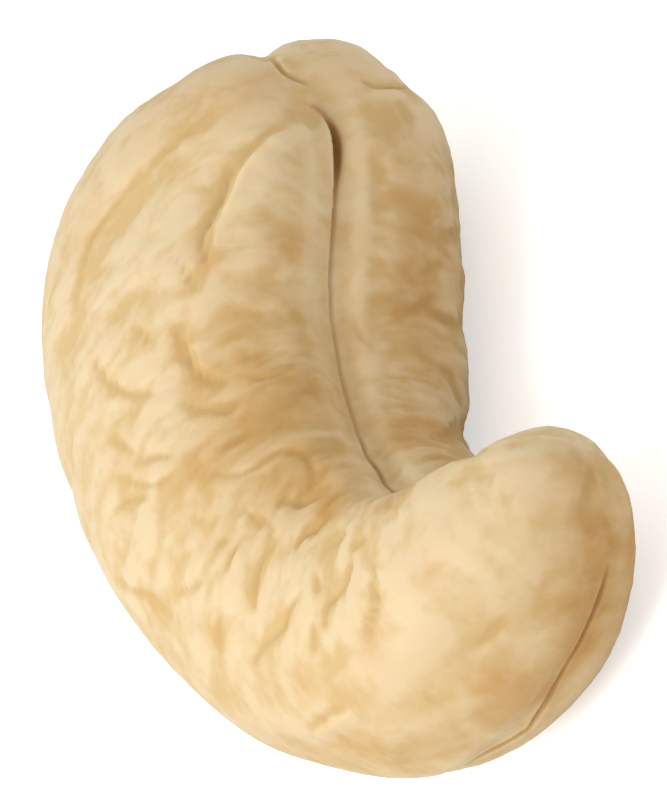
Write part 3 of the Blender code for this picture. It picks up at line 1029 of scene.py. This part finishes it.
# Gold, toasted, ochre, brown and the tan filter also serve as painted shade.
GOLD_AND_SHADE = (0.70, 0.495, 0.225, 1)
ROSY = (0.81, 0.615, 0.38, 1)
TOASTED_AND_SHADE = (0.68, 0.42, 0.16, 1)
CREASE_SHADE_OCHRE = (0.60, 0.36, 0.13, 1)
CRACK_AND_SHADOW_BROWN = (0.38, 0.165, 0.045, 1)
TAN_AND_SHADE_FILTER = (0.82, 0.68, 0.46, 1)
LONG_STREAKS = {"Length": 1.3, "Width": 0.9, "Seed": 3.0, "Contrast": 1.9}
WARM_STREAKS = {"Length": 0.9, "Width": 0.7, "Seed": 51.0, "Contrast": 3.0}
FRECKLE_NOISE = (2.2, 1.5)
HOLLOW_SHADE = 0.55
VALLEY_SHADE = 0.45
GOLD_SHARE = 0.44
PALE_AND_HIGHLIGHT_SHARE = 0.25
TOAST_AND_SHADE_SHARE = 0.9
WARM_SHARE = 0.25
TAN_AND_SHADE_SHARE = 1.0
TAN_AND_SHADE_STREAKING = 0.55
CREASE_SHADE_SHARE = 0.6
FLESH_ROUGHNESS = 0.52
GLOSS_CHANGE = 0.10
FLESH_SPECULAR = 0.35
GLOW_WEIGHT = 0.6
GLOW_DEPTH = 0.5 * MM
GLOW_COLOURS = (1.0, 0.55, 0.28)


def place_streaks(tree, sizes):
    """Places the streak group with its own length, width, seed and contrast."""
    node = add_node(tree, "Group", node_tree=streaks)
    for name, value in sizes.items():
        node.inputs[name].default_value = value
    return node.outputs["Mask"]


def share_of(tree, name, share):
    """A stored mark, weakened or strengthened."""
    return maths(tree, "MULTIPLY", read_attribute(tree, name), share)


paint = bpy.data.materials.new("roasted_flesh")
paint.use_nodes = True
tree = paint.node_tree
shader = tree.nodes["Principled BSDF"]
long_streaks = place_streaks(tree, LONG_STREAKS)
in_mm = add_node(tree, "Mapping")
in_mm.inputs["Scale"].default_value = (1 / MM, 1 / MM, 1 / MM)
tree.links.new(add_node(tree, "TexCoord").outputs["Object"], in_mm.inputs["Vector"])
freckles = add_noise(tree, in_mm.outputs["Vector"], *FRECKLE_NOISE)
mottle = maths(tree, "ADD", long_streaks, maths(tree, "SUBTRACT", freckles, NOISE_MIDDLE))
# Painted shade: gold in hollows and broad valleys, paler on crests; the rest of the gold is random
# mottle.
fine_hollow_shade = share_of(tree, "hollow", HOLLOW_SHADE)
depth = maths(tree, "ADD", fine_hollow_shade, share_of(tree, "valley", VALLEY_SHADE))
# Painted light: the pale spots take gold away on lit faces and crests.
gold_share = maths(tree, "SUBTRACT", GOLD_SHARE, share_of(tree, "pale_and_highlight", PALE_AND_HIGHLIGHT_SHARE))
tone = maths(tree, "ADD", maths(tree, "ADD", mottle, depth), gold_share, clamp=True)
warmth = maths(tree, "ADD", place_streaks(tree, WARM_STREAKS), WARM_SHARE, clamp=True)
pale_colour = blend_colours(tree, warmth, CREAM, ROSY)
flesh_colour = blend_colours(tree, tone, pale_colour, GOLD_AND_SHADE)
# Orange-brown for toasted patches and for painted shade, streaked.
toast_and_shade_streaks = maths(tree, "ADD", mottle, TOAST_AND_SHADE_SHARE)
toast_and_shade_mask = maths(tree, "MULTIPLY", read_attribute(tree, "toast_and_shade"), toast_and_shade_streaks, clamp=True)
toasted_and_shaded_colour = blend_colours(tree, toast_and_shade_mask, flesh_colour, TOASTED_AND_SHADE)
# Tan and painted shade, multiplied on as a darkening filter.
tan_and_shade_streaks = maths(tree, "MULTIPLY_ADD", long_streaks, TAN_AND_SHADE_STREAKING, TAN_AND_SHADE_SHARE)
tan_and_shade_mask = maths(tree, "MULTIPLY", read_attribute(tree, "tan_and_shade"), tan_and_shade_streaks, clamp=True)
tanned_and_shaded_colour = blend_colours(tree, tan_and_shade_mask, toasted_and_shaded_colour, TAN_AND_SHADE_FILTER, "MULTIPLY")
# Ochre painted shade in the creases.
crease_shade_mask = share_of(tree, "crease_shade", CREASE_SHADE_SHARE)
crease_shaded_colour = blend_colours(tree, crease_shade_mask, tanned_and_shaded_colour, CREASE_SHADE_OCHRE)
# Brown in the cracks, with painted shadow beside the slit.
colour = blend_colours(tree, read_attribute(tree, "crack_and_shadow"), crease_shaded_colour, CRACK_AND_SHADOW_BROWN)
tree.links.new(colour, shader.inputs["Base Color"])
crest_roughness = FLESH_ROUGHNESS - GLOSS_CHANGE / 2
gloss = maths(tree, "MULTIPLY_ADD", tone, GLOSS_CHANGE, crest_roughness)
tree.links.new(gloss, shader.inputs["Roughness"])
shader.inputs["Specular IOR Level"].default_value = FLESH_SPECULAR
shader.inputs["Subsurface Weight"].default_value = GLOW_WEIGHT
shader.inputs["Subsurface Scale"].default_value = GLOW_DEPTH
shader.inputs["Subsurface Radius"].default_value = GLOW_COLOURS
print("material", paint.name, "has", len(tree.nodes), "nodes")

# %% [markdown]
# ## Pores
# The skin of the flesh has a grain that is finer than the mesh: a hundredth of a millimetre
# deep. It changes no outline, so a bump from noise in real millimetres is enough for it.

# %% Add pores with a bump
PORE_DEPTH = 0.010 * MM
PORE_NOISE = (3.0, 4.0)

pores = add_noise(tree, in_mm.outputs["Vector"], *PORE_NOISE)
bumps = add_node(tree, "Bump")
bumps.inputs["Distance"].default_value = PORE_DEPTH
tree.links.new(pores, bumps.inputs["Height"])
tree.links.new(bumps.outputs["Normal"], shader.inputs["Normal"])
flesh.data.materials.append(paint)
flesh.data.shade_smooth()
triangles = sum(len(face.vertices) - 2 for face in flesh.data.polygons)
print("flesh faces:", len(flesh.data.polygons), "in triangles:", triangles)

# %% [markdown]
# ## Stage and light
# The photograph has a bare white ground and one large soft light from above the kernel's
# back. The floor is a plain pale sheet. It is paler to the eye than to the light that it
# throws back, as a light table is, so the ground stays nearly white and the underside keeps
# its shade. Light Path tells the two apart.

# %% Lay the floor and hang the light
WHITE = (1, 1, 1, 1)
FLOOR_SIZE = 3.0
FLOOR_ROUGHNESS = 0.8
FLOOR_SEEN = 0.90
FLOOR_FOR_BOUNCE = 0.75
FLOOR_GLOW = 0.55
KEY_FROM = Vector((-0.30, 0.40, 0.86))
KEY_AWAY = 0.36
KEY_SIZE = 0.28
KEY_POWER = 0.75
ROOM_LIGHT = 0.70

bpy.ops.mesh.primitive_plane_add(size=FLOOR_SIZE, location=(0, 0, 0))
floor = bpy.context.object
floor.name = "studio_floor"
floor_paint = bpy.data.materials.new("opal_floor")
floor_paint.use_nodes = True
tree = floor_paint.node_tree
shader = tree.nodes["Principled BSDF"]
shader.inputs["Roughness"].default_value = FLOOR_ROUGHNESS
shader.inputs["Emission Color"].default_value = WHITE
to_eye = add_node(tree, "LightPath").outputs["Is Camera Ray"]
bounce_grey = (FLOOR_FOR_BOUNCE, FLOOR_FOR_BOUNCE, FLOOR_FOR_BOUNCE, 1)
seen_grey = (FLOOR_SEEN, FLOOR_SEEN, FLOOR_SEEN, 1)
tree.links.new(blend_colours(tree, to_eye, bounce_grey, seen_grey), shader.inputs["Base Color"])
tree.links.new(maths(tree, "MULTIPLY", to_eye, FLOOR_GLOW), shader.inputs["Emission Strength"])
floor.data.materials.append(floor_paint)

bpy.ops.object.light_add(type="AREA", location=KEY_FROM * KEY_AWAY)
key = bpy.context.object
key.name = "softbox"
key.data.shape = "DISK"
key.data.size = KEY_SIZE
key.data.energy = KEY_POWER
key.rotation_euler = KEY_FROM.to_track_quat("Z", "Y").to_euler()
key.visible_camera = False

world = bpy.context.scene.world or bpy.data.worlds.new("studio")
bpy.context.scene.world = world
world.use_nodes = True
sky = world.node_tree.nodes["Background"]
sky.inputs["Color"].default_value = WHITE
sky.inputs["Strength"].default_value = ROOM_LIGHT
bpy.context.scene.view_settings.view_transform = "Standard"
print("light hangs at", [round(side, 3) for side in key.location], "in metres")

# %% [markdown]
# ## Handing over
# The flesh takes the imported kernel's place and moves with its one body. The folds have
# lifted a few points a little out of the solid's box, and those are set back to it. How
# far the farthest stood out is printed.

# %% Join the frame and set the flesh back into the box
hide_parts("kernel")
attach(flesh, "root")
lowest, highest = (np.array(corner) / MM for corner in cad_box)
places = skin_points()
outside_box = np.maximum(places - highest, lowest - places).max()
flesh.data.vertices.foreach_set("co", places.clip(lowest, highest).ravel() * MM)
flesh.data.update()
print("the box cuts off", round(outside_box, 3), "mm")
